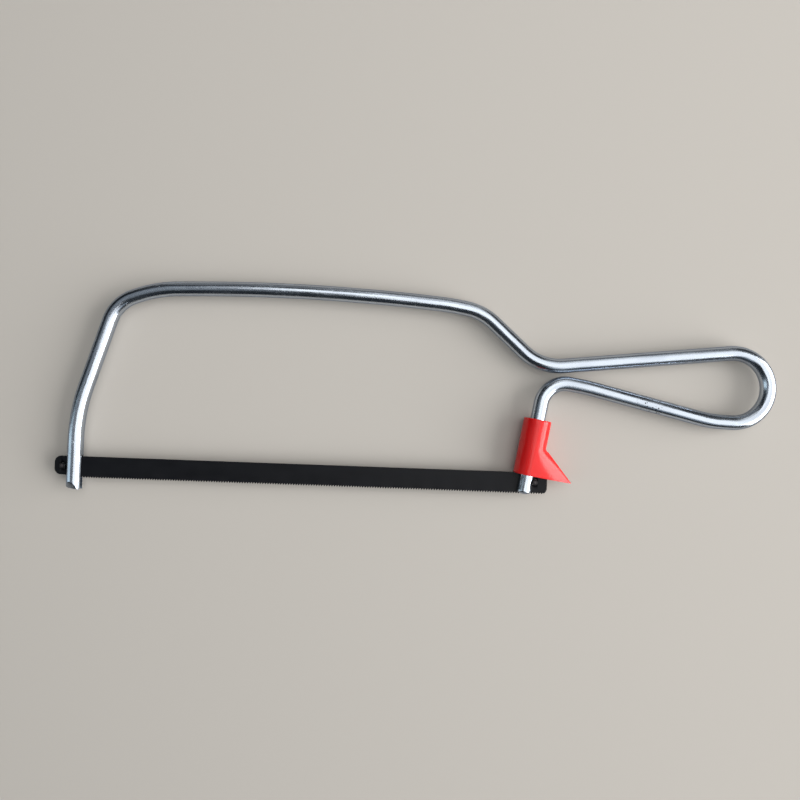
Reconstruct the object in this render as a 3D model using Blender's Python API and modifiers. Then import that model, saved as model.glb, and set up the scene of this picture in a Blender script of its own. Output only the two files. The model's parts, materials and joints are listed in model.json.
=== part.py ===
"""Mini hacksaw: one bent steel rod as frame and handle, a pinned blade and a sliding finger guard.

The saw lies flat. +X runs along the blade towards the handle, +Y from the teeth towards the top bar
and +Z out of the saw's plane. The rod, the blade and the guard share the plane halfway up, and their
places are measured from the axis of the front blade pin. The finished saw stands on its base: the
origin is the middle of the base of its bounding box.
"""
import math

import bmesh
import bpy
import numpy as np
from mathutils import Matrix, Vector

# Every size is in millimetres and every angle in degrees; the meshes are in metres.
MM = 0.001

# The blade, and the two cross pins pressed into it.
PIN_SPACING = 146.2
PIN_DIAMETER = 1.8
PIN_LENGTH = 2.4
PIN_CHAMFER = 0.15
PIN_HOLE_CLEARANCE = 0.08
BLADE_HEIGHT = 6.6
BLADE_BACK = 2.97
BLADE_THICKNESS = 0.6
BLADE_FRONT_END = 2.65
BLADE_REAR_END = 3.9
BLADE_CORNER_RADIUS = 1.9
PLAIN_END_RISE = 0.85
TEETH_PER_INCH = 32
TOOTH_DEPTH = 0.55
TOOTH_TIP_SHARE = 0.3
TEETH_START = 3.0
SET_SWING = 0.1
SET_WAVE = 6.35
SET_BAND = 1.3

# The rod and its bends. Heights are above the line through the two pins, and tails below it.
ROD_DIAMETER = 4.5
FRONT_LEG_LEAN = 0.4
FRONT_BEND_HEIGHT = 16.8
FRONT_BEND_RADIUS = 56.0
FRONT_TAIL = 7.55
FRONT_END_SLANT = 29.0
BAR_HEIGHT = 56.7
CORNER_SETBACK = 14.6
CORNER_DROP = 5.6
CORNER_RADIUS = 11.8
EASE_SETBACK = 27.4
EASE_DROP = 0.9
EASE_RADIUS = 40.0
BOW_FRONT_SETBACK = 54.0
BOW_MIDDLE_DROP = 0.23
BOW_REAR_SETBACK = 44.1
BOW_REAR_DROP = 1.4
BOW_RADIUS = 540.0
BAR_END_SETBACK = 28.1
BAR_END_DROP = 2.7
BAR_END_RADIUS = 87.0
SHOULDER_SETBACK = 17.9
SHOULDER_DROP = 4.5
SHOULDER_RADIUS = 17.0
NECK_REACH = 0.6
NECK_HEIGHT = 35.6
NECK_RADIUS = 16.1
HANDLE_REACH = 71.5
LOOP_TOP_HEIGHT = 43.5
LOOP_TOP_RADIUS = 10.9
LOOP_LOW_HEIGHT = 20.3
LOOP_LOW_RADIUS = 10.6
GRIP_END_REACH = 53.9
GRIP_END_HEIGHT = 20.9
GRIP_END_RADIUS = 34.0
GRIP_START_REACH = 15.3
GRIP_START_HEIGHT = 29.95
GRIP_START_RADIUS = 77.0
REAR_LEG_LEAN = 9.4
REAR_BEND_HEIGHT = 31.95
REAR_BEND_RADIUS = 7.5
REAR_TAIL = 3.05

# How the blade sits in the rod's two slit ends.
SEAT_GAP = 0.3
SLIT_WIDTH = 1.2
GROOVE_RADIUS = 2.1
GROOVE_DEPTH = 1.0
GROOVE_DROP = 0.7

# The moulded finger guard: a sleeve on the rear leg with a beak over the blade's tail.
GUARD_DIAMETER = 8.5
GUARD_LENGTH = 17.4
GUARD_BORE_GAP = 0.3
GUARD_RIM = 0.35
GUARD_OVERLAP = 0.65
BEAK_REACH = 14.1
BEAK_RISE = 8.3
BEAK_SHOULDER = 0.7
BEAK_LEDGE = 0.5
BEAK_TIP_THICKNESS = 2.0
BEAK_NOSE = 0.4
BEAK_WALL = 1.3
BEAK_SLOT_GAP = 0.5

# How finely curved surfaces are cut into facets.
ROD_BEVEL_RESOLUTION = 8
BEND_STEP = 6.0
ROUND_SEGMENTS = 28
CORNER_POINTS = 6
SLEEVE_POINTS = 22
BEAK_POINTS = 5
SHARP_ANGLE = 35.0

# How far a cutter reaches past what it cuts.
CUT_MARGIN = 3.0


def clear_scene():
    """Remove every object of the scene that the script starts in."""
    for item in list(bpy.data.objects):
        bpy.data.objects.remove(item, do_unlink=True)


def new_collection(name):
    """Add an empty collection to the scene."""
    collection = bpy.data.collections.new(name)
    bpy.context.scene.collection.children.link(collection)
    return collection


def new_material(name, color, roughness, metallic):
    """Make a Principled material of one colour, roughness and metallic value."""
    material = bpy.data.materials.new(name)
    material.use_nodes = True
    shader = material.node_tree.nodes["Principled BSDF"]
    shader.inputs["Base Color"].default_value = (*color, 1.0)
    shader.inputs["Roughness"].default_value = roughness
    shader.inputs["Metallic"].default_value = metallic
    return material


def add_mesh(name, mesh, collection, material=None):
    """Put a mesh into a collection as a named object."""
    item = bpy.data.objects.new(name, mesh)
    collection.objects.link(item)
    if material:
        mesh.materials.append(material)
    return item


def mesh_from_bmesh(name, shape):
    """Turn a bmesh with its faces pointing out into a mesh."""
    bmesh.ops.recalc_face_normals(shape, faces=shape.faces[:])
    mesh = bpy.data.meshes.new(name)
    shape.to_mesh(mesh)
    shape.free()
    return mesh


def shade_round(mesh):
    """Shade a mesh smooth, with edges sharper than SHARP_ANGLE left crisp."""
    mesh.shade_smooth()
    mesh.set_sharp_from_angle(angle=math.radians(SHARP_ANGLE))


def add_cutter(name, mesh, matrix):
    """Make a wire-drawn cutter object that isn't a piece of the saw."""
    cutter = add_mesh(name, mesh, cutters)
    cutter.matrix_world = matrix
    cutter.hide_render = True
    cutter.display_type = "WIRE"
    return cutter


def box_mesh(name, low, high):
    """Make a box between two corners given in millimetres."""
    low = Vector(low) * MM
    high = Vector(high) * MM
    shape = bmesh.new()
    size = Matrix.Diagonal((*(high - low), 1.0))
    bmesh.ops.create_cube(shape, size=1.0, matrix=Matrix.Translation((low + high) / 2) @ size)
    return mesh_from_bmesh(name, shape)


def cylinder_mesh(name, diameter, length):
    """Make a cylinder along Z, centred on its middle, from sizes in millimetres."""
    shape = bmesh.new()
    bmesh.ops.create_cone(shape, cap_ends=True, segments=ROUND_SEGMENTS, radius1=diameter / 2 * MM,
                          radius2=diameter / 2 * MM, depth=length * MM)
    return mesh_from_bmesh(name, shape)


def cut(item, cutter):
    """Subtract a cutter from an object."""
    modifier = item.modifiers.new(cutter.name, "BOOLEAN")
    modifier.operation = "DIFFERENCE"
    modifier.object = cutter


def front_leg_x():
    """Place of the front leg's axis on the line of the pins: the pin bears on the leg's outer side."""
    return PIN_DIAMETER / 2 + SEAT_GAP + ROD_DIAMETER / 2


def rear_pin_offset():
    """Distance of the rear pin from the rear leg's axis, square to the leg.

    The pin lies inside the groove's arc, SEAT_GAP clear of it, and GROOVE_DROP above the arc's centre.
    """
    groove_centre = ROD_DIAMETER / 2 - GROOVE_DEPTH + GROOVE_RADIUS
    reach = GROOVE_RADIUS - SEAT_GAP - PIN_DIAMETER / 2
    return groove_centre - math.sqrt(reach ** 2 - GROOVE_DROP ** 2)


def rear_leg_frame():
    """Where the rear leg crosses the line of the pins, its upward and its outward direction."""
    lean = math.radians(REAR_LEG_LEAN)
    foot = Vector((PIN_SPACING - rear_pin_offset() / math.cos(lean), 0.0, 0.0))
    upward = Vector((math.sin(lean), math.cos(lean), 0.0))
    outward = Vector((math.cos(lean), -math.sin(lean), 0.0))
    return foot, upward, outward


def rod_corners():
    """Corners of the rod's centre line before bending, with each bend's radius, front tip first."""
    front = front_leg_x()
    front_drift = math.tan(math.radians(FRONT_LEG_LEAN))
    foot, upward, _ = rear_leg_frame()
    rear_bend = foot + upward * (REAR_BEND_HEIGHT / upward.y)
    rear_tip = foot - upward * (REAR_TAIL / upward.y)
    bow_middle = (BOW_FRONT_SETBACK + PIN_SPACING - BOW_REAR_SETBACK) / 2
    return [
        (front - front_drift * FRONT_TAIL, -FRONT_TAIL, 0.0),
        (front + front_drift * FRONT_BEND_HEIGHT, FRONT_BEND_HEIGHT, FRONT_BEND_RADIUS),
        (CORNER_SETBACK, BAR_HEIGHT - CORNER_DROP, CORNER_RADIUS),
        (EASE_SETBACK, BAR_HEIGHT - EASE_DROP, EASE_RADIUS),
        (BOW_FRONT_SETBACK, BAR_HEIGHT, BOW_RADIUS),
        (bow_middle, BAR_HEIGHT - BOW_MIDDLE_DROP, BOW_RADIUS),
        (PIN_SPACING - BOW_REAR_SETBACK, BAR_HEIGHT - BOW_REAR_DROP, BOW_RADIUS),
        (PIN_SPACING - BAR_END_SETBACK, BAR_HEIGHT - BAR_END_DROP, BAR_END_RADIUS),
        (PIN_SPACING - SHOULDER_SETBACK, BAR_HEIGHT - SHOULDER_DROP, SHOULDER_RADIUS),
        (PIN_SPACING + NECK_REACH, NECK_HEIGHT, NECK_RADIUS),
        (PIN_SPACING + HANDLE_REACH, LOOP_TOP_HEIGHT, LOOP_TOP_RADIUS),
        (PIN_SPACING + HANDLE_REACH, LOOP_LOW_HEIGHT, LOOP_LOW_RADIUS),
        (PIN_SPACING + GRIP_END_REACH, GRIP_END_HEIGHT, GRIP_END_RADIUS),
        (PIN_SPACING + GRIP_START_REACH, GRIP_START_HEIGHT, GRIP_START_RADIUS),
        (rear_bend.x, rear_bend.y, REAR_BEND_RADIUS),
        (rear_tip.x, rear_tip.y, 0.0),
    ]


def bend_lengths(points, radii):
    """Length that each bend takes from the straights beside it.

    A bend of radius r through an angle a takes r tan(a/2) from each side. Where two bends would want
    more than the straight between them, both give way in the same share.
    """
    runs = np.diff(points, axis=0)
    lengths = np.linalg.norm(runs, axis=1)
    headings = np.unwrap(np.arctan2(runs[:, 1], runs[:, 0]))
    turns = np.concatenate([[0.0], np.diff(headings), [0.0]])
    wanted = radii * np.abs(np.tan(turns / 2))
    share = np.minimum(1.0, 0.999 * lengths / np.maximum(wanted[:-1] + wanted[1:], 1e-9))
    limit = np.minimum(np.concatenate([[1.0], share]), np.concatenate([share, [1.0]]))
    return wanted * limit, turns, runs / lengths[:, None]


def rod_path():
    """Points of the rod's centre line: straights joined by circular bends."""
    corners = np.array(rod_corners())
    points, radii = corners[:, :2], corners[:, 2]
    tangents, turns, directions = bend_lengths(points, radii)
    path = [points[0]]
    for i in range(1, len(points) - 1):
        start = points[i] - directions[i - 1] * tangents[i]
        radius = tangents[i] / abs(math.tan(turns[i] / 2))
        side = math.copysign(1.0, turns[i])
        inward = np.array([-directions[i - 1][1], directions[i - 1][0]]) * side
        steps = max(2, math.ceil(math.degrees(abs(turns[i])) / BEND_STEP))
        for angle in np.linspace(0.0, abs(turns[i]), steps + 1):
            onward = math.sin(angle) * directions[i - 1] + (1 - math.cos(angle)) * inward
            path.append(start + radius * onward)
    path.append(points[-1])
    return np.array(path), tangents


def add_rod(name, path):
    """Sweep the round rod along its path as a bevelled curve and make it a closed mesh."""
    curve = bpy.data.curves.new(name, "CURVE")
    curve.dimensions = "3D"
    curve.twist_mode = "Z_UP"
    curve.bevel_depth = ROD_DIAMETER / 2 * MM
    curve.bevel_resolution = ROD_BEVEL_RESOLUTION
    curve.use_fill_caps = True
    spline = curve.splines.new("POLY")
    spline.points.add(len(path) - 1)
    for point, place in zip(spline.points, path):
        point.co = (place[0] * MM, place[1] * MM, 0.0, 1.0)
    drawn = bpy.data.objects.new(name + "_curve", curve)
    parts.objects.link(drawn)
    graph = bpy.context.evaluated_depsgraph_get()
    mesh = bpy.data.meshes.new_from_object(drawn.evaluated_get(graph))
    shape = bmesh.new()
    shape.from_mesh(mesh)
    bmesh.ops.remove_doubles(shape, verts=shape.verts[:], dist=1e-6)
    bmesh.ops.recalc_face_normals(shape, faces=shape.faces[:])
    shape.to_mesh(mesh)
    shape.free()
    mesh.name = name
    item = bpy.data.objects.new(name, mesh)
    item.matrix_world = drawn.matrix_world
    parts.objects.link(item)
    bpy.data.objects.remove(drawn, do_unlink=True)
    return item


def make_frame():
    """The bent rod, with a blade slit in each end, a slanted front tip and a pin groove at the rear."""
    path, tangents = rod_path()
    frame = add_rod("frame", path)
    frame.data.materials.append(new_material("plated_steel", (0.72, 0.73, 0.75), 0.12, 1.0))
    shade_round(frame.data)

    reach = ROD_DIAMETER / 2 + CUT_MARGIN
    front = front_leg_x()
    foot, upward, outward = rear_leg_frame()
    low = -FRONT_TAIL - CUT_MARGIN
    slit_top = BLADE_BACK + SEAT_GAP
    for name, leg_x in (("front_slit", front), ("rear_slit", foot.x)):
        mesh = box_mesh(name, (leg_x - reach, low, -SLIT_WIDTH / 2),
                        (leg_x + reach, slit_top, SLIT_WIDTH / 2))
        cut(frame, add_cutter(name, mesh, Matrix.Identity(4)))

    slant = math.radians(FRONT_END_SLANT)
    middle = -FRONT_TAIL + ROD_DIAMETER / 2 * math.tan(slant)
    mesh = box_mesh("front_end", (-reach, -2 * reach, -2 * reach), (reach, 0.0, 2 * reach))
    place = Matrix.Translation(Vector((front, middle, 0.0)) * MM)
    cut(frame, add_cutter("front_end", mesh, place @ Matrix.Rotation(-slant, 4, "X")))

    pin = Vector((PIN_SPACING, 0.0, 0.0))
    level = (pin - foot).dot(upward) - GROOVE_DROP
    centre = foot + upward * level + outward * (ROD_DIAMETER / 2 - GROOVE_DEPTH + GROOVE_RADIUS)
    mesh = cylinder_mesh("pin_groove", 2 * GROOVE_RADIUS, ROD_DIAMETER + 2 * CUT_MARGIN)
    cut(frame, add_cutter("pin_groove", mesh, Matrix.Translation(centre * MM)))
    return frame, tangents


def blade_columns():
    """Stations along the blade: where each column of points stands, and how high and low it reaches.

    Each rounded corner is a quarter circle. The front end is plain, and its lower edge lies a little
    above the teeth. From TEETH_START to the rear corner the lower edge steps between gullets and tooth
    tips, the steep side of every tooth facing the front.
    """
    edge = BLADE_BACK - BLADE_HEIGHT
    front = -BLADE_FRONT_END
    rear = PIN_SPACING + BLADE_REAR_END
    radius = BLADE_CORNER_RADIUS
    arc = np.linspace(0.0, math.pi / 2, CORNER_POINTS)
    inset = radius * (1 - np.sin(arc))[::-1]
    drop = radius - np.sqrt(np.maximum(radius ** 2 - (radius - inset) ** 2, 0.0))
    pitch = 25.4 / TEETH_PER_INCH
    count = int((rear - radius - TEETH_START) / pitch)
    gullets = TEETH_START + pitch * np.arange(count + 1)
    tips = gullets[:-1] + TOOTH_TIP_SHARE * pitch
    x = np.concatenate([front + inset, gullets, tips, rear - inset])
    top = BLADE_BACK - np.concatenate([drop, np.zeros(2 * count + 1), drop])
    rise = [PLAIN_END_RISE + drop, np.full(count + 1, TOOTH_DEPTH), np.zeros(count), drop]
    bottom = edge + np.concatenate(rise)
    order = np.argsort(x, kind="stable")
    return x[order], top[order], bottom[order]


def make_blade():
    """The toothed blade: columns of points from its back to its tooth edge, with a wavy set.

    The sideways set is a sine along the blade, full at the tooth edge and none above the set band.
    """
    x, top, bottom = blade_columns()
    band = np.maximum(bottom, np.minimum(top, SET_BAND + BLADE_BACK - BLADE_HEIGHT))
    in_teeth = (x >= TEETH_START) & (x <= PIN_SPACING + BLADE_REAR_END - BLADE_CORNER_RADIUS)
    swing = SET_SWING * np.sin(2 * math.pi * (x - TEETH_START) / SET_WAVE) * in_teeth
    half = BLADE_THICKNESS / 2
    none = np.zeros_like(x)
    rows = [(top, none + half), (band, none + half), (bottom, swing + half),
            (bottom, swing - half), (band, none - half), (top, none - half)]
    points = np.concatenate([np.stack([x, y, z], axis=1) for y, z in rows]) * MM
    columns = len(x)
    faces = []
    for row in range(len(rows)):
        near = row * columns
        far = (row + 1) % len(rows) * columns
        faces += [(near + i, near + i + 1, far + i + 1, far + i) for i in range(columns - 1)]
    faces.append([row * columns for row in range(len(rows))])
    faces.append([row * columns + columns - 1 for row in range(len(rows))])
    shape = bmesh.new()
    corners = [shape.verts.new(point) for point in points]
    for face in faces:
        shape.faces.new([corners[i] for i in face])
    blade = add_mesh("blade", mesh_from_bmesh("blade", shape), parts,
                     new_material("black_paint", (0.012, 0.013, 0.016), 0.45, 0.0))
    for name, pin_x in (("front_hole", 0.0), ("rear_hole", PIN_SPACING)):
        mesh = cylinder_mesh(name, PIN_DIAMETER + 2 * PIN_HOLE_CLEARANCE, BLADE_THICKNESS + CUT_MARGIN)
        cut(blade, add_cutter(name, mesh, Matrix.Translation((pin_x * MM, 0.0, 0.0))))
    return blade


def make_pin(name, pin_x, blade, material):
    """A short hard pin through the blade, chamfered at both ends."""
    pin = add_mesh(name, cylinder_mesh(name, PIN_DIAMETER, PIN_LENGTH), parts, material)
    chamfer = pin.modifiers.new("chamfer", "BEVEL")
    chamfer.width = PIN_CHAMFER * MM
    chamfer.segments = 1
    chamfer.limit_method = "ANGLE"
    shade_round(pin.data)
    pin.parent = blade
    pin.location = (pin_x * MM, 0.0, 0.0)
    return pin


def guard_flank():
    """Angle of the beak's flanks: tangent to the sleeve and half the tip's thickness apart at the tip."""
    tip_half = BEAK_TIP_THICKNESS / 2
    span = math.hypot(BEAK_REACH, tip_half)
    return math.asin(GUARD_DIAMETER / 2 / span) - math.atan2(tip_half, BEAK_REACH)


def flank_half_width(reach):
    """Half the beak's thickness at a distance from the sleeve's axis."""
    flank = guard_flank()
    return GUARD_DIAMETER / 2 / math.cos(flank) - reach * math.tan(flank)


def guard_section(radius, tip=None):
    """Outline of the guard square to the leg: a circle, or a circle drawn out into a beak.

    The beak's flanks leave the circle as tangents, and its nose is a shallow parabola between them.
    """
    touch = math.pi / 2 - guard_flank()
    back = np.linspace(touch, 2 * math.pi - touch, SLEEVE_POINTS)
    outline = np.stack([np.cos(back), np.sin(back)], axis=1) * radius
    if tip is None:
        front = np.linspace(-touch, touch, 3 * BEAK_POINTS - 2)[1:-1]
        nose = np.stack([np.cos(front), np.sin(front)], axis=1) * radius
        return np.concatenate([outline, nose])
    half = flank_half_width(tip)
    across = np.linspace(-half, half, BEAK_POINTS)
    nose = np.stack([tip - BEAK_NOSE * (across / half) ** 2, across], axis=1)
    share = np.linspace(0.0, 1.0, BEAK_POINTS)[1:-1, None]
    lower = outline[-1] * (1 - share) + nose[0] * share
    upper = nose[-1] * (1 - share) + outline[0] * share
    return np.concatenate([outline, lower, nose, upper])


def make_guard():
    """The moulded guard: sections stacked along the leg, a bore, a cored beak and a slot over the blade."""
    foot, upward, _ = rear_leg_frame()
    rise = (BLADE_BACK - GUARD_OVERLAP) / upward.y
    seat = foot + upward * rise
    radius = GUARD_DIAMETER / 2
    shoulder = radius + BEAK_SHOULDER
    stack = [
        (0.0, guard_section(radius, BEAK_REACH)),
        (BEAK_RISE, guard_section(radius, shoulder)),
        (BEAK_RISE + BEAK_LEDGE, guard_section(radius)),
        (GUARD_LENGTH - GUARD_RIM, guard_section(radius)),
        (GUARD_LENGTH, guard_section(radius - GUARD_RIM)),
    ]
    shape = bmesh.new()
    rings = [[shape.verts.new(Vector((r, height, z)) * MM) for r, z in outline] for height, outline in stack]
    for lower, upper in zip(rings, rings[1:]):
        for i in range(len(lower)):
            shape.faces.new((lower[i - 1], lower[i], upper[i], upper[i - 1]))
    shape.faces.new(rings[0])
    shape.faces.new(rings[-1])
    guard = add_mesh("finger_guard", mesh_from_bmesh("finger_guard", shape), parts,
                     new_material("red_plastic", (0.75, 0.035, 0.025), 0.25, 0.0))
    shade_round(guard.data)
    turn = Matrix.Rotation(math.radians(-REAR_LEG_LEAN), 4, "Z")
    place = Matrix.Translation(seat * MM) @ turn
    guard.matrix_world = place

    bore = ROD_DIAMETER + 2 * GUARD_BORE_GAP
    along = Matrix.Translation((0.0, GUARD_LENGTH / 2 * MM, 0.0)) @ Matrix.Rotation(math.pi / 2, 4, "X")
    mesh = cylinder_mesh("guard_bore", bore, GUARD_LENGTH + 2 * CUT_MARGIN)
    cut(guard, add_cutter("guard_bore", mesh, place @ along))

    slope = BEAK_RISE / (BEAK_REACH - shoulder)
    roof_drop = BEAK_WALL * math.hypot(1.0, slope)
    core = bmesh.new()
    for reach in (shoulder, BEAK_REACH - 2 * BEAK_WALL):
        half = flank_half_width(reach) - BEAK_WALL / math.cos(guard_flank())
        roof = (BEAK_REACH - reach) * slope - roof_drop
        for height in (-CUT_MARGIN, roof):
            for z in (-half, half):
                core.verts.new(Vector((reach, height, z)) * MM)
    bmesh.ops.convex_hull(core, input=core.verts[:])
    cut(guard, add_cutter("beak_core", mesh_from_bmesh("beak_core", core), place))

    half = BLADE_THICKNESS / 2 + BEAK_SLOT_GAP
    tail = PIN_SPACING + BLADE_REAR_END + BEAK_SLOT_GAP
    mesh = box_mesh("blade_slot", (seat.x - GUARD_DIAMETER, -BLADE_HEIGHT, -half),
                    (tail, BLADE_BACK + SEAT_GAP, half))
    cut(guard, add_cutter("blade_slot", mesh, Matrix.Identity(4)))
    return guard, rise


def stand_on_base(pieces):
    """Parent the pieces to an empty and move it so that the base's middle is the origin."""
    root = bpy.data.objects.new("saw_place", None)
    parts.objects.link(root)
    for piece in pieces:
        if piece.parent is None:
            piece.parent = root
    bpy.context.view_layer.update()
    graph = bpy.context.evaluated_depsgraph_get()
    corners = []
    for piece in pieces:
        solid = piece.evaluated_get(graph)
        flat = np.empty(3 * len(solid.data.vertices))
        solid.data.vertices.foreach_get("co", flat)
        place = np.array(solid.matrix_world)
        corners.append(flat.reshape(-1, 3) @ place[:3, :3].T + place[:3, 3])
    corners = np.concatenate(corners)
    low, high = corners.min(axis=0), corners.max(axis=0)
    offset = -np.array([(low[0] + high[0]) / 2, (low[1] + high[1]) / 2, low[2]])
    root.location = offset
    for cutter in cutters.objects:
        cutter.parent = root
    bpy.context.view_layer.update()
    return offset, high - low


clear_scene()
parts = new_collection("mini_hacksaw")
cutters = new_collection("cutters")
frame, tangents = make_frame()
blade = make_blade()
pin_steel = new_material("pin_steel", (0.05, 0.05, 0.055), 0.4, 1.0)
front_pin = make_pin("front_pin", 0.0, blade, pin_steel)
rear_pin = make_pin("rear_pin", PIN_SPACING, blade, pin_steel)
guard, guard_rise = make_guard()
offset, extent = stand_on_base([frame, blade, front_pin, rear_pin, guard])

_, upward, _ = rear_leg_frame()
straight = REAR_BEND_HEIGHT / upward.y - tangents[-2] - guard_rise - GUARD_LENGTH
print("size", np.round(extent, 5))
print("front pin axis", np.round(offset, 6))
print("guard slide axis", tuple(round(c, 5) for c in upward), "free travel in mm", round(straight, 3))
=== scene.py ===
# %% [markdown]
# # A mini hacksaw, dressed around its CAD frame
#
# The saw is one bent steel rod, a pinned blade and a red guard that slides on the rod's rear leg. The CAD
# model already has every piece in its place. This lesson builds a finer surface for each of them with
# numpy, gives each its finish, and lets it ride on the CAD body that moves it.

# %% Load the CAD frame
import json
import math

import bmesh
import bpy
import numpy as np
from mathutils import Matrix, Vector

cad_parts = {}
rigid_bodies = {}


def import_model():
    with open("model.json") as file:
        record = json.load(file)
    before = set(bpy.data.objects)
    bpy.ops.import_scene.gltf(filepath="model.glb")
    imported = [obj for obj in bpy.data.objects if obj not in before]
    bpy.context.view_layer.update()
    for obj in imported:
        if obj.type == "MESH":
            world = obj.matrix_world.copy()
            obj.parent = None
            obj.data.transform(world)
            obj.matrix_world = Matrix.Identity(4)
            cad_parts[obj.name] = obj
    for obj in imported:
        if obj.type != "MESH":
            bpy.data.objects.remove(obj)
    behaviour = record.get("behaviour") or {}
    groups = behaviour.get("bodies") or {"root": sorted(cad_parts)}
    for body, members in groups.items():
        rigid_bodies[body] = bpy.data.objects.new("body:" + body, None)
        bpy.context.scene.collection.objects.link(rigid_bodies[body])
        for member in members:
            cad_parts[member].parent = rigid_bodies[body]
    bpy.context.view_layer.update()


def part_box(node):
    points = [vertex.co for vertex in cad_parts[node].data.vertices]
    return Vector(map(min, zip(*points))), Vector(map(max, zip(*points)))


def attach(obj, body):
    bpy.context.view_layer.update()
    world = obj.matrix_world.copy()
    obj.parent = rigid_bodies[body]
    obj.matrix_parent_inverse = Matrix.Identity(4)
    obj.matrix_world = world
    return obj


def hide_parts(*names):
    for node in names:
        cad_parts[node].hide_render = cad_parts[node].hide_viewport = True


for leftover in list(bpy.data.objects):
    bpy.data.objects.remove(leftover, do_unlink=True)
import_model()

# %% [markdown]
# Every length below is in millimetres, measured from the axis of the blade's front pin, as a saw maker
# would draw it: x along the blade towards the handle, y from the teeth towards the top bar, z out of the
# saw's plane. The front pin's own box says where that axis is in the CAD frame, so nothing is fitted by eye.

# %% Where the drawing lies in the CAD frame
MM = 0.001
pin_low, pin_high = (np.array(corner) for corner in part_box("front_pin"))
drawing_origin = (pin_low + pin_high) / 2
print("the drawing's origin in metres:", np.round(drawing_origin, 6))

# %% [markdown]
# A surface is a grid of points: row by row, column by column. The faces between them follow from the
# counts alone, so one helper serves every piece. A second one puts points and faces into a mesh, merges
# the points that two grids share, turns the faces outwards and keeps the edges of the piece crisp.


# %% Helpers for grids and pieces
def grid_faces(rows, columns, first=0, round_rows=False, round_columns=False):
    """Quads of a grid of points: each joins a point to the next column and the next row."""
    row = np.arange(rows if round_rows else rows - 1)[:, None]
    column = np.arange(columns if round_columns else columns - 1)[None, :]
    next_row = (row + 1) % rows
    next_column = (column + 1) % columns
    corners = [row * columns + column, row * columns + next_column,
               next_row * columns + next_column, next_row * columns + column]
    return (first + np.stack(corners, axis=-1)).reshape(-1, 4).tolist()


def add_piece(name, points, faces, sharp_degrees=35.0, attribute=None):
    """A mesh from points in millimetres of the drawing, with an optional vector stored at each point."""
    mesh = bpy.data.meshes.new(name)
    mesh.from_pydata((points * MM + drawing_origin).tolist(), [], faces)
    if attribute is not None:
        label, vectors = attribute
        layer = mesh.attributes.new(label, "FLOAT_VECTOR", "POINT")
        layer.data.foreach_set("vector", np.ravel(vectors * MM).astype(np.float32))
    shape = bmesh.new()
    shape.from_mesh(mesh)
    bmesh.ops.remove_doubles(shape, verts=shape.verts[:], dist=1e-7)
    bmesh.ops.recalc_face_normals(shape, faces=shape.faces[:])
    open_edges = sum(not edge.is_manifold for edge in shape.edges)
    shape.to_mesh(mesh)
    shape.free()
    mesh.shade_smooth()
    mesh.set_sharp_from_angle(angle=math.radians(sharp_degrees))
    piece = bpy.data.objects.new(name, mesh)
    bpy.context.scene.collection.objects.link(piece)
    print(f"{name}: {len(mesh.vertices)} points, {len(mesh.polygons)} faces, {open_edges} open edges")
    return piece


# %% [markdown]
# ## The rod
#
# The frame and the handle are one length of plated steel rod, bent cold. Its centre line is drawn the way
# a bending shop would: a few corner points, each with the radius of its bend. A bend of radius r through
# an angle a takes r tan(a/2) from both straights, and its points lie on a circle that starts there.

# %% The rod's centre line
BEND_POINTS = 90
ROD_CORNERS = np.array([
    (3.397, -7.55, 0.0),      # front tip
    (3.567, 16.8, 56.0),      # where the front leg leans in
    (14.6, 51.1, 11.8),       # front corner of the bow
    (27.4, 55.8, 40.0),       # easing into the top bar
    (54.0, 56.7, 540.0),      # three gentle bows of the top bar
    (78.05, 56.47, 540.0),
    (102.1, 55.3, 540.0),
    (118.1, 54.0, 87.0),
    (128.3, 52.2, 17.0),      # shoulder
    (146.8, 35.6, 16.1),      # neck
    (217.7, 43.5, 10.9),      # top of the handle loop
    (217.7, 20.3, 10.6),      # bottom of the handle loop
    (200.1, 20.9, 34.0),
    (161.5, 29.95, 77.0),
    (148.667, 31.95, 7.5),    # down into the rear leg
    (142.873, -3.05, 0.0),    # rear tip
])


def bent_line(corners):
    """Points along straights joined by circular bends, with each point's length from the start."""
    points, radii = corners[:, :2], corners[1:-1, 2:]
    runs = np.diff(points, axis=0)
    runs /= np.linalg.norm(runs, axis=1, keepdims=True)
    turns = np.diff(np.unwrap(np.arctan2(runs[:, 1], runs[:, 0])))[:, None]
    starts = points[1:-1] - runs[:-1] * radii * np.abs(np.tan(turns / 2))
    inward = np.stack([-runs[:-1, 1], runs[:-1, 0]], axis=1) * np.sign(turns)
    angle = np.abs(turns) * np.linspace(0.0, 1.0, BEND_POINTS)
    bends = starts[:, None] + radii[:, None] * (np.sin(angle)[..., None] * runs[:-1, None]
                                                + (1 - np.cos(angle))[..., None] * inward[:, None])
    line = np.concatenate([points[:1], bends.reshape(-1, 2), points[-1:]])
    length = np.concatenate([[0.0], np.cumsum(np.linalg.norm(np.diff(line, axis=0), axis=1))])
    return line, length


line, line_length = bent_line(ROD_CORNERS)
rod_length = line_length[-1]
print(f"rod: {rod_length:.1f} mm from tip to tip")

# %% [markdown]
# Both ends of the rod are sawn open to take the blade, which leaves two half-round prongs. The ring of
# points around the rod therefore has a point at each lip of the slit. The same ring runs the whole length
# of the rod, and the prongs simply carry on from its two large arcs.

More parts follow.
